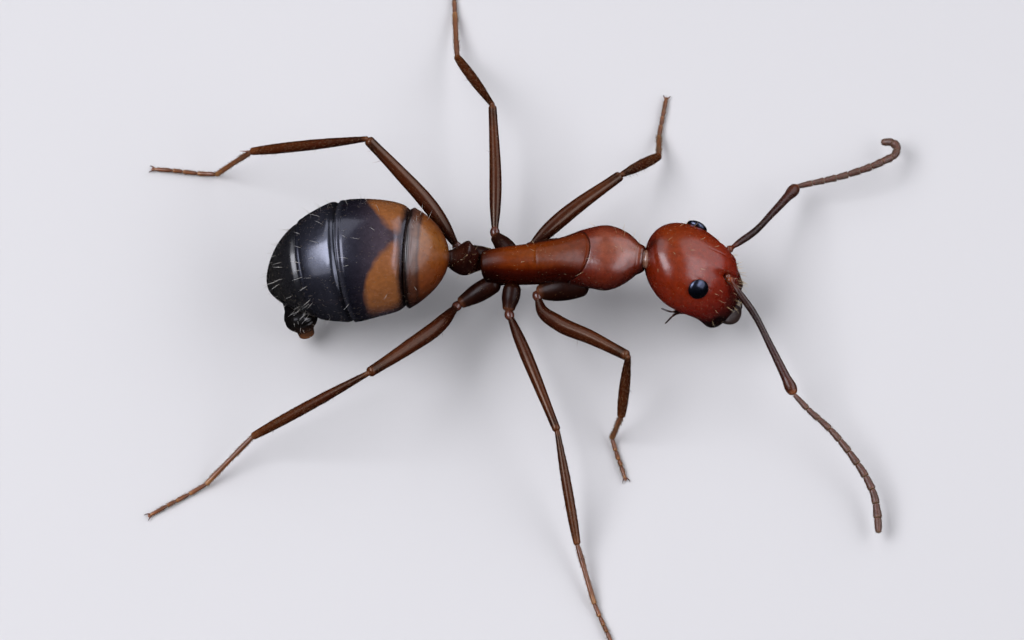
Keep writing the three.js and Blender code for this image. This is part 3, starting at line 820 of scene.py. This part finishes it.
# ---------------------------------------------------------------- feelers
# Each feeler is a long bare shaft, the scape, on a ball in the face, then an elbow and eleven short segments
# that taper and thicken to a blunt end. The shaft is dark polished chitin, the segments brown and downy.
SEGMENTS, FIRST_SEGMENT = 11, 0.115  # how many, and the first one's share of their length
SCAPE_BOW = [(0, 0), (0.15, 0.045), (0.33, 0.095), (0.6, 0.065), (1, 0)]  # how far forward it is bowed
BALL_RADIUS = 0.062
WHIPS = {
    "left": [
        (6.95, 2.72, 0.62), (7.6, 3.0, 0.62), (7.88, 3.26, 0.5), (7.91, 3.44, 0.45), (7.81, 3.57, 0.4),
        (7.6, 3.6, 0.35),
    ],
    "right": [
        (6.02, -2.87, 0.82), (6.37, -3.17, 0.72), (6.68, -3.52, 0.64), (6.93, -3.87, 0.57),
        (7.15, -4.22, 0.5), (7.3, -4.58, 0.44), (7.365, -5.0, 0.37), (7.385, -5.37, 0.32),
    ],
}
# The bare shaft has little wax and gives one narrow light. The downy segments are duller still, and each is
# paler at its ends.
# The shaft's orange end at the elbow is partly a paler joint and partly a painted highlight.
scape_chitin = chitin(
    "chitin_grey_brown_scape", {
        0: "#8a4420", 0.05: "#6a2c14", 0.14: "#3a1a12", 0.35: "#2e1e1a", 0.6: "#3a1c18", 0.85: "#4a2218",
        0.96: "#5a2c18", 1: "#a05c30",
    }, DARK_BELLY_SHADE, roughness=0.28, coat=0.2, shine=0.35,
)
ball_chitin = chitin("chitin_red_brown_scape_ball", {0: "#4a1c0c", 1: "#8a4420"}, roughness=0.3)
segment_chitin = chitin(
    "chitin_brown_funiculus", {
        0: "#a87c5c", 0.07: "#704434", 0.3: "#643c2e", 0.88: "#6c4232", 1: "#94704e",
    }, DARK_BELLY_SHADE, roughness=0.45, coat=0.15,
)
scape_size = girths(
    [0, 0.025, 0.06, 0.12, 0.5, 0.85, 0.97, 1], [0.06, 0.075, 0.045, 0.06, 0.068, 0.094, 0.106, 0.066],
)
whip_size = girths([0, 0.05, 0.3, 0.8, 0.97, 1], [0.05, 0.054, 0.064, 0.073, 0.068, 0.05])


def far_end(node, start):
    """The joint at a limb segment's far end: the corner of its solid that lies farthest from its start."""
    points = np.array([vertex.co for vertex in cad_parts[node].data.vertices]) / MM - HOME
    return points[np.linalg.norm(points - start, axis=1).argmax()]


feelers = {}
for side, left in SIDES.items():
    socket = (SOCKET * (1, left, 1)) @ head_turn.T + HEAD_PLACE
    elbow = far_end(f"scape_{side}", socket)
    way = unit(elbow - socket)
    forward = unit(np.cross(elbow - socket, (0, 0, left)))
    bow = [socket + share * (elbow - socket) + push * forward for share, push in SCAPE_BOW]
    shaft = loft(path(bow), scape_size, 150, 40, (0.04, 0.05))
    ball_line = path([socket - 0.08 * way, socket + 0.05 * way])
    ball = loft(ball_line, lambda share: np.full(share.shape + (3,), BALL_RADIUS), 8, 32, (0.06, 0.06))
    finishes = [scape_chitin, ball_chitin]
    piece(f"scape_shaft_{side}", [shaft, ball], finishes, [f"scape_{side}"], "feeler_shell")
    joints = np.r_[0, np.linspace(FIRST_SEGMENT, 1, SEGMENTS)]
    segments = jointed(path([elbow, *WHIPS[side]]), joints, whip_size, 26, 30, waist=0.86)
    nodes = [f"funiculus_base_{side}", f"funiculus_tip_{side}"]
    piece(f"funiculus_{side}", segments, segment_chitin, nodes, "feeler_shell")
    feelers[side] = (shaft, segments)

# ---------------------------------------------------------------- legs
# Six legs of dark red-brown chitin tubes, each a hip like a pear, a small ring, a long thigh, a shin with a
# spur and a five-part foot that ends in two claws. The chitin thins and lightens to amber towards the claws.
HIPS = {"fore": (1.56, 0.34, 1.6), "middle": (0.03, 0.3, 1.56), "hind": (-0.25, 0.22, 1.48)}  # the left ones
HIP_GIRTH = {"fore": 1.15, "middle": 0.78, "hind": 0.85}  # shares of a common pear shape
THIGH_GIRTH = {"fore": 0.16, "middle": 0.125, "hind": 0.158}
SHIN_GIRTH = {"fore": 0.108, "middle": 0.1, "hind": 0.108}
HEEL_LENGTH = {"fore": 0.67, "middle": 1.27, "hind": 1.35}
TOES_LENGTH = {"fore": 0.92, "middle": 0.95, "hind": 1.3}
# Of each leg: the headings of heel and toes in degrees, and how far its bowed thigh is pushed aside at some
# shares of its length. shift is how far a hip is turned from where its solid ends.
LEGS = {
    "fore_left": {"headings": (90, 80), "bow": [(0.45, (-0.04, 0.05, 0.0))]},
    "fore_right": {
        "headings": (-138, -73), "shift": (0.02, 0.18, 0.15),
        "bow": [(0.1, (-0.05, -0.04, 0.03)), (0.27, (-0.03, -0.12, 0.0)), (0.6, (0.0, -0.05, 0.0))],
    },
    "middle_left": {"headings": (92, 93), "bow": [(0.45, (0.035, 0.0, 0.0))]},
    "middle_right": {"headings": (-74, -68), "bow": [(0.5, (0.0, 0.0, 0.04))]},
    "hind_left": {"headings": (174, 173), "bow": [(0.35, (0.086, 0.05, 0.06)), (0.7, (0.05, 0.04, 0.03))]},
    "hind_right": {"headings": (-139, -149), "bow": [(0.25, (0.06, -0.1, 0.02)), (0.6, (0.04, -0.08, 0.02))]},
}
HEEL_HEIGHT, TOE_HEIGHT = 0.1, 0.05
# The outlines of hip, thigh and shin: shares of their girth, from near the body outwards.
PEAR = (0.2, 0.23, 0.24, 0.225, 0.18)
SPINDLE = (0.86, 1, 0.96, 0.86, 0.74, 0.66)
CLUB = (0.7, 0.9, 1, 1, 0.92, 0.7)
SPUR_LENGTH = 0.3
TOE_JOINTS = [0, 0.31, 0.54, 0.7, 1]
# A claw's hook: how far forward, how far aside and how high its points lie from the toe's end.
CLAW = [(-0.02, 0.012, 0), (0.03, 0.047, 0.012), (0.08, 0.072, -0.008), (0.095, 0.072, -0.04)]
# Hips are dull and black-brown. Thighs and shins are glossy tubes, and their lights run warm because the
# chitin lets some of the light through. Feet are thinner and clearer, and claws hard and dark.
coxa_chitin = chitin(
    "chitin_black_brown_coxa", {0: "#2e1208", 0.6: "#240d06", 0.86: "#30150a", 1: "#7a4a30"},
    DARK_BELLY_SHADE, roughness=0.32, coat=0.0, shine=0.14,
)
# Thighs and shins darker towards their undersides: painted shade.
LIMB_BELLY_SHADE = {0: "#ffffff", 0.5: "#c8b0a0", 1: "#806458"}
LIMB_GLOSS = {"coat": 0.1, "shine": 0.4, "gleam": "#ffe6cc"}
thigh_chitin = chitin(
    "chitin_dark_red_brown_thigh", {
        0: "#6a3c28", 0.04: "#2c1008", 0.3: "#441c0a", 0.8: "#50260e", 0.95: "#34180a", 1: "#6a3c20",
    }, LIMB_BELLY_SHADE, roughness=0.22, **LIMB_GLOSS,
)
ring_chitin = chitin(
    "chitin_red_brown_leg_ring", {0: "#6a4030", 0.4: "#4c2214", 1: "#64382a"}, roughness=0.22, coat=0.4,
)
shin_chitin = chitin(
    "chitin_dark_red_brown_shin", {
        0: "#6a3c20", 0.06: "#341608", 0.4: "#481f0a", 0.9: "#542a10", 1: "#784626",
    }, LIMB_BELLY_SHADE, roughness=0.24, **LIMB_GLOSS,
)
foot_chitin = chitin(
    "chitin_amber_foot", {0: "#7a4626", 0.1: "#6c3c20", 0.8: "#8a5028", 1: "#b07a44"},
    roughness=0.36, coat=0.3,
)
claw_chitin = chitin(
    "chitin_dark_amber_claw", {0: "#8a5028", 0.5: "#5a3018", 1: "#1c0f0a"}, roughness=0.3, coat=0.5,
)
heel_size = girths([0, 0.1, 0.5, 1], [0.05, 0.056, 0.048, 0.05])
toe_size = girths([0, 0.6, 0.9, 1], [0.044, 0.038, 0.036, 0.024])


def tube(points, radii, rings, sides, blunt=(0.02, 0.02), flat=1.0):
    """A limb segment through points, with its radius at even shares of its length. flat widens it."""
    rows = [(r * flat, r / flat, r / flat) for r in radii]
    return loft(path(points), smooth(np.linspace(0, 1, len(radii)), rows), rings, sides, blunt)


def heading(degrees):
    """The level direction at a turn from the ant's forward, to its left."""
    return np.array([math.cos(math.radians(degrees)), math.sin(math.radians(degrees)), 0])


legs = {}
for leg, pose in LEGS.items():
    pair, side = leg.split("_")
    base = np.array(HIPS[pair]) * (1, SIDES[side], 1)
    hip = far_end(f"coxa_{leg}", base)
    knee = far_end(f"femur_{leg}", hip)
    bow = [hip + share * (knee - hip) + push for share, push in pose["bow"]]
    hip = hip + pose.get("shift", (0, 0, 0))
    ankle = far_end(f"tibia_{leg}", knee)
    way, toes_way = (heading(degrees) for degrees in pose["headings"])
    drop = HEEL_HEIGHT - ankle[2]
    heel = ankle + math.sqrt(HEEL_LENGTH[pair] ** 2 - drop**2) * way + (0, 0, drop)
    toe = heel + TOES_LENGTH[pair] * toes_way + (0, 0, TOE_HEIGHT - HEEL_HEIGHT)

    pear = HIP_GIRTH[pair] * np.array(PEAR)
    coxa = tube([base, base + 0.5 * (hip - base), hip], [*pear, 0.11], 70, 56, (0.16, 0.06))
    piece(f"hip_{leg}", [coxa], coxa_chitin, [f"coxa_{leg}"], "waist_shell")

    thigh_way = unit(bow[0] - hip)
    ring = tube([hip - 0.03 * thigh_way, hip + 0.2 * thigh_way], [0.06, 0.09, 0.1, 0.085, 0.05], 20, 36)
    spindle = THIGH_GIRTH[pair] * np.array(SPINDLE)
    thigh = tube([hip + 0.1 * thigh_way, *bow, knee], [0.06, *spindle], 110, 44, (0.03, 0.07))
    piece(f"thigh_{leg}", [thigh, ring], [thigh_chitin, ring_chitin], [f"femur_{leg}"], "thigh_shell")

    shin_way = unit(ankle - knee)
    club = SHIN_GIRTH[pair] * np.array(CLUB)
    shin_line = [knee - 0.03 * shin_way, knee + 0.5 * (ankle - knee), ankle]
    shin = tube(shin_line, [0.052, *club], 100, 40, (0.04, 0.05))
    inner = unit(np.cross(shin_way, np.cross(shin_way, way)) + 1e-6)
    spur_root = ankle - 0.07 * shin_way
    spur_point = spur_root + SPUR_LENGTH * unit(shin_way + 0.35 * way - 0.25 * inner)
    spur_line = [spur_root, (spur_root + spur_point) / 2 + 0.015 * inner, spur_point]
    spur = tube(spur_line, [0.02, 0.017, 0.011, 0.004], 20, 12, (0.01, 0.004))
    piece(f"shin_{leg}", [shin, spur], [shin_chitin, foot_chitin], [f"tibia_{leg}"], "shin_shell")

    heel_line = path([ankle - 0.03 * shin_way, ankle + 0.5 * (heel - ankle), heel])
    heel_part = jointed(heel_line, [0, 1], heel_size, 60, 28, waist=0.8)
    third = 0.33 * (toe - heel)
    toe_line = path([
        heel - 0.02 * unit(heel - ankle), heel + third - (0, 0, 0.015), heel + 2 * third + (0, 0, 0.012), toe,
    ])
    toes = jointed(toe_line, TOE_JOINTS, toe_size, 22, 24, waist=0.62)
    pad_line = [toe - 0.02 * toes_way, toe + 0.05 * toes_way - (0, 0, 0.012)]
    pad = tube(pad_line, [0.016, 0.024, 0.02], 10, 16, (0.01, 0.015), flat=1.3)
    claws = []
    for across in (np.cross(toes_way, (0, 0, 1)), np.cross((0, 0, 1), toes_way)):
        line = [toe + ahead * toes_way + aside * across + (0, 0, high) for ahead, aside, high in CLAW]
        claws.append(tube(line, [0.016, 0.014, 0.009, 0.002], 22, 12, (0.008, 0.003)))
    foot = [*heel_part, *toes, pad]
    finishes = [foot_chitin] * len(foot) + [claw_chitin] * len(claws)
    piece(f"foot_{leg}", foot + claws, finishes, [f"tarsus_{leg}"], "foot_shell")
    legs[leg] = {"coxa": coxa, "thigh": thigh, "shin": shin, "heel": heel_part, "toes": toes}

# ---------------------------------------------------------------- hairs
# Stiff erect hairs, the setae, stand on the gaster, the face and here and there on the back, and short down
# lies flat on legs, feelers and plates. Each is a tapered bristle of clear, pale gold chitin in a socket.
draw = np.random.default_rng(7)
PATCH = 0.003  # how wide each hair's patch of the unwrap is
GROUND = 0.006  # hairs that reach the ground bend along it, at this height
ROOT_DEPTH = 0.004  # how far a hair's root is sunk in the skin
CURL, LOWEST = 0.25, 1.52  # radians that a hair bends over its length, and may lean from upright at most
THINNEST, THICKEST, TAPER = 0.8, 1.15, 1.6  # how far its thickness strays, and how late it thins
CORNERS = (0.5, 2.6, 4.7)  # where the corners of its three-sided section lie, in radians
# Clear chitin scatters light and has hardly any pigment, so hairs look pale, and palest towards the point.
seta, pale_seta, down, leg_down = (
    chitin(name, stops, roughness=roughness, coat=wax, relief=0.0)
    for name, stops, roughness, wax in (
        ("clear_gold_seta", {0: "#b08c58", 0.4: "#e6cc9c", 1: "#f6e8cc"}, 0.35, 0.2),
        ("clear_white_seta", {0: "#b4ac9c", 0.4: "#e4e0d6", 1: "#f8f6f2"}, 0.35, 0.2),
        ("clear_grey_gold_down", {0: "#6a5844", 1: "#a89a84"}, 0.4, 0.2),
        ("clear_amber_leg_down", {0: "#4a2c18", 0.5: "#80603c", 1: "#b89a6c"}, 0.4, 0.1),
    )
)


def bed(skin, number, length, thick, lean, where=None, stray=0.3, joints=3):
    """Hairs on one skin: how many, the range of their lengths, how thick, and the range of their lean.

    They lean from upright towards the far end of the skin, by degrees, and stray from that way to the sides.
    where(share, turn) says how densely they grow, and joints is how many straight lengths each is made of.
    """
    points, normals = skin["points"], skin["normals"]
    sides = points.shape[1]
    beside = np.roll(points, -1, 1)
    area = np.linalg.norm(np.cross(points[1:] - points[:-1], beside[:-1] - points[:-1]), axis=-1)
    if where:
        area = area * where(skin["share"][:-1, None], skin["turn"][None, :])
    odds = area.ravel() / area.sum()
    i, j = np.divmod(draw.choice(odds.size, number, p=odds), sides)
    s, t = draw.random((2, number, 1))
    this_ring, next_ring = ((1 - t) * points[k, j] + t * beside[k, j] for k in (i, i + 1))
    root = (1 - s) * this_ring + s * next_ring
    out = normals[i, j]
    back = unit(points[i + 1, j] - points[i, j])
    swing = draw.normal(0, stray, (number, 1))
    comb = np.cos(swing) * back + np.sin(swing) * np.cross(out, back)
    angle = np.radians(draw.uniform(*lean, (number, 1)))
    reach = draw.uniform(*length, (number, 1)) / joints
    radius = thick / 2 * draw.uniform(THINNEST, THICKEST, (number, 1))
    spot = root - ROOT_DEPTH * out
    across = unit(np.cross(comb, out))
    rows = []
    for step in range(joints):
        way = np.cos(angle) * out + np.sin(angle) * comb
        over = np.cross(across, way)
        r = radius * (1 - (step / joints) ** TAPER)
        ring = [spot + r * (math.cos(corner) * across + math.sin(corner) * over) for corner in CORNERS]
        rows.append(np.stack(ring, 1))
        spot = spot + reach * way
        spot[:, 2] = np.maximum(spot[:, 2], GROUND)
        angle = np.minimum(angle + CURL / joints, LOWEST)
    rows.append(spot[:, None])
    y = heights(skin)
    unwrap = np.stack([(j + t[:, 0]) / sides, y[i] + s[:, 0] * (y[i + 1] - y[i])], -1)
    return np.concatenate(rows, 1), unwrap, joints


def coat(name, beds, finish, slot):
    """Joins beds of hair in one mesh."""
    vertices, faces, unwrap, along = [], [], [], []
    count = 0
    for band, (hairs, roots, joints) in enumerate(beds):
        number, corners = hairs.shape[:2]
        pattern = [(2, 1, 0)]
        for step in range(joints - 1):
            for k in range(3):
                low, high = 3 * step + k, 3 * step + (k + 1) % 3
                pattern.append((low, high, high + 3, low + 3))
        top = 3 * (joints - 1)
        pattern += [(top + k, top + (k + 1) % 3, 3 * joints) for k in range(3)]
        starts = count + corners * np.arange(number)
        count += number * corners
        vertices.append(hairs.reshape(-1, 3))
        up = [k // 3 / joints for k in range(corners)]
        offsets = np.array([(PATCH * (k % 3 / 2 - 0.5), PATCH * (up[k] - 0.5)) for k in range(corners)])
        along.append(np.tile(up, number))
        for shape in pattern:
            shape = np.array(shape)
            faces += (starts[:, None] + shape).tolist()
            places = roots[:, None] + offsets[shape]
            places[..., 1] = (band + np.clip(places[..., 1], 0, 1)) / len(beds)
            unwrap.append(places.reshape(-1, 2))
    mount(name, vertices, faces, unwrap, {"along": along}, [finish], [], slot)


def on_back(share, turn):
    """Densest along the middle of the back."""
    return near(turn, 1.3) + 0 * share


def before_rim(share, turn):
    """Denser just before a ring's hind rim, on the back and flanks."""
    return (0.25 + near(share - 0.86, 0.06)) * near(turn, 1.7) * (share > 0.12) * (share < 0.95)


def behind(limit):
    """Evenly, from a share of the skin's length on."""
    return lambda share, turn: (share > limit) + 0 * turn


def on_face(share, turn):
    """Densest on the face shield."""
    return near(share - 0.86, 0.14) * near(turn, 0.9)


def on_belly(share, turn):
    """Along the underside, except at the near end."""
    return near(np.abs(turn) - math.pi, 0.5) * (share > 0.1)


ERECT = {"length": (0.14, 0.28), "thick": 0.009, "lean": (10, 45)}
FLAT = {"length": (0.025, 0.045), "thick": 0.004, "lean": (66, 82), "joints": 2}
coat("setae_gaster", [
    *[bed(skin, number, where=before_rim, **ERECT) for skin, number in zip(gaster_rings[:3], (8, 14, 24))],
    bed(gaster_rings[3], 56, where=behind(0.1), **ERECT),
    bed(gaster_end, 20, (0.08, 0.16), 0.009, (15, 50), behind(0.35)),
], pale_seta, "gaster_black")
coat("down_gaster", [
    bed(skin, number, (0.04, 0.07), 0.005, (74, 85), stray=0.35, joints=2)
    for skin, number in zip(gaster_rings, (300, 600, 450, 300))
], down, "gaster_black")
coat("setae_head", [
    bed(capsule, 80, (0.14, 0.24), 0.009, (10, 50), on_face, joints=4),
    bed(capsule, 26, (0.1, 0.18), 0.009, (20, 55), on_back),
    bed(capsule, 700, (0.02, 0.038), 0.004, (50, 78), joints=2),
], seta, "head_shell")
coat("setae_trunk", [
    bed(pronotum, 12, (0.16, 0.28), 0.009, (5, 40), on_back),
    *[bed(skin, number, **FLAT) for skin, number in ((pronotum, 150), (mesonotum, 120), (propodeum, 120))],
    bed(propodeum, 6, (0.12, 0.2), 0.009, (10, 50), on_back),
    bed(waist, 12, (0.1, 0.2), 0.007, (10, 50), on_back),
    bed(waist, 110, (0.03, 0.05), 0.0045, (62, 80), joints=2),
], seta, "trunk_shell")

feeler_beds = []
for shaft, segments in feelers.values():
    feeler_beds.append(bed(shaft, 700, (0.03, 0.055), 0.0045, (58, 78), joints=2))
    feeler_beds += [bed(segment, 300, (0.03, 0.055), 0.005, (50, 72), joints=2) for segment in segments]
coat("down_feelers", feeler_beds, down, "feeler_shell")

for leg, parts in legs.items():
    coat(f"down_leg_{leg}", [
        bed(parts["coxa"], 50, (0.03, 0.06), 0.006, (55, 80), joints=2),
        bed(parts["thigh"], 520, (0.045, 0.075), 0.004, (74, 84), stray=0.15, joints=2),
        bed(parts["thigh"], 9, (0.12, 0.2), 0.008, (10, 40), on_belly),
        bed(parts["shin"], 620, (0.05, 0.08), 0.0045, (66, 80), stray=0.15, joints=2),
        bed(parts["shin"], 24, (0.1, 0.15), 0.009, (35, 55), on_belly),
        *[bed(skin, 520, (0.045, 0.085), 0.0055, (42, 62), stray=0.2, joints=2) for skin in parts["heel"]],
        *[bed(skin, 120, (0.035, 0.07), 0.005, (42, 62), stray=0.2, joints=2) for skin in parts["toes"]],
    ], leg_down, "shin_shell")

# ---------------------------------------------------------------- floor, light and camera
# A plain pale sheet under the ant. Two wide soft boxes, each with a brighter core, hang over its tail end and
# over its head end, and leave a darker gap between them; the room around them is dim.
FLOOR_REACH = 0.3
BOX_DISTANCE = 0.12
ROOM_BRIGHTNESS = 0.5
floor_mesh = bpy.data.meshes.new("floor")
floor_corners = [(x * FLOOR_REACH, y * FLOOR_REACH, 0) for x, y in ((-1, -1), (1, -1), (1, 1), (-1, 1))]
floor_mesh.from_pydata(floor_corners, [], [(0, 1, 2, 3)])
floor = bpy.data.objects.new("floor", floor_mesh)
bpy.context.scene.collection.objects.link(floor)
paper = bpy.data.materials.new("matt_pale_paper")
paper.use_nodes = True
paper_shader = paper.node_tree.nodes["Principled BSDF"]
paper_shader.inputs["Base Color"].default_value = linear("#dcdad6")
paper_shader.inputs["Roughness"].default_value = 0.8
floor_mesh.materials.append(paper)
floor.visible_glossy = False  # so that the flanks keep their own deep colour instead of mirroring the sheet


def soft_box(name, way, wide, tall, radiance):
    """A soft rectangular light that hangs that way from the ant, and so many degrees wide and tall there."""
    light = bpy.data.lights.new(name, "AREA")
    tall_side, wide_side = (2 * BOX_DISTANCE * math.tan(math.radians(angle / 2)) for angle in (tall, wide))
    light.shape, light.size, light.size_y = "RECTANGLE", tall_side, wide_side
    light.energy, light.color = radiance * math.pi * tall_side * wide_side, linear("#f3f4ff")[:3]
    made = bpy.data.objects.new(name, light)
    bpy.context.scene.collection.objects.link(made)
    way = Vector(way).normalized()
    made.location = way * BOX_DISTANCE
    made.rotation_euler = way.to_track_quat("Z", "Y").to_euler()


# Left is the tail end and right the head end, as the camera sees them.
soft_box("soft_box_left", (-0.56, 0.12, 0.82), 38, 100, 1.2)
soft_box("soft_box_left_core", (-0.56, -0.1, 0.82), 29, 42, 4.8)
soft_box("soft_box_right", (0.81, 0.12, 0.57), 50, 100, 1.2)
soft_box("soft_box_right_core", (0.69, -0.14, 0.71), 24, 56, 1.5)
world = bpy.data.worlds.new("dim_room")
world.use_nodes = True
sky = add(world.node_tree, "TexCoord", out="Generated")
height = add(world.node_tree, "SeparateXYZ", {0: sky}, "Z")
glow = add(world.node_tree, "ValToRGB", {"Fac": height}, stops={0: "#1c1c20", 0.4: "#4c4c52", 0.9: "#8c8e98"})
world.node_tree.links.new(glow, world.node_tree.nodes["Background"].inputs["Color"])
world.node_tree.nodes["Background"].inputs["Strength"].default_value = ROOM_BRIGHTNESS
bpy.context.scene.world = world
bpy.context.scene.view_settings.view_transform = "Standard"

ELEVATION = math.radians(62)
DISTANCE, FIELD = 200.0, 20.9  # how far the camera is and how wide it sees there, in millimetres
AIM = np.array([0.0, -0.35, 0.0])
back = Vector((0, -math.cos(ELEVATION), math.sin(ELEVATION)))
lens = bpy.data.cameras.new("camera")
lens.sensor_width = 36
lens.lens = lens.sensor_width * DISTANCE / FIELD
lens.clip_start, lens.clip_end = 0.01, 2.0
camera = bpy.data.objects.new("camera", lens)
bpy.context.scene.collection.objects.link(camera)
camera.location = Vector((AIM + HOME) * MM) + back * DISTANCE * MM
camera.rotation_euler = back.to_track_quat("Z", "Y").to_euler()
bpy.context.scene.camera = camera
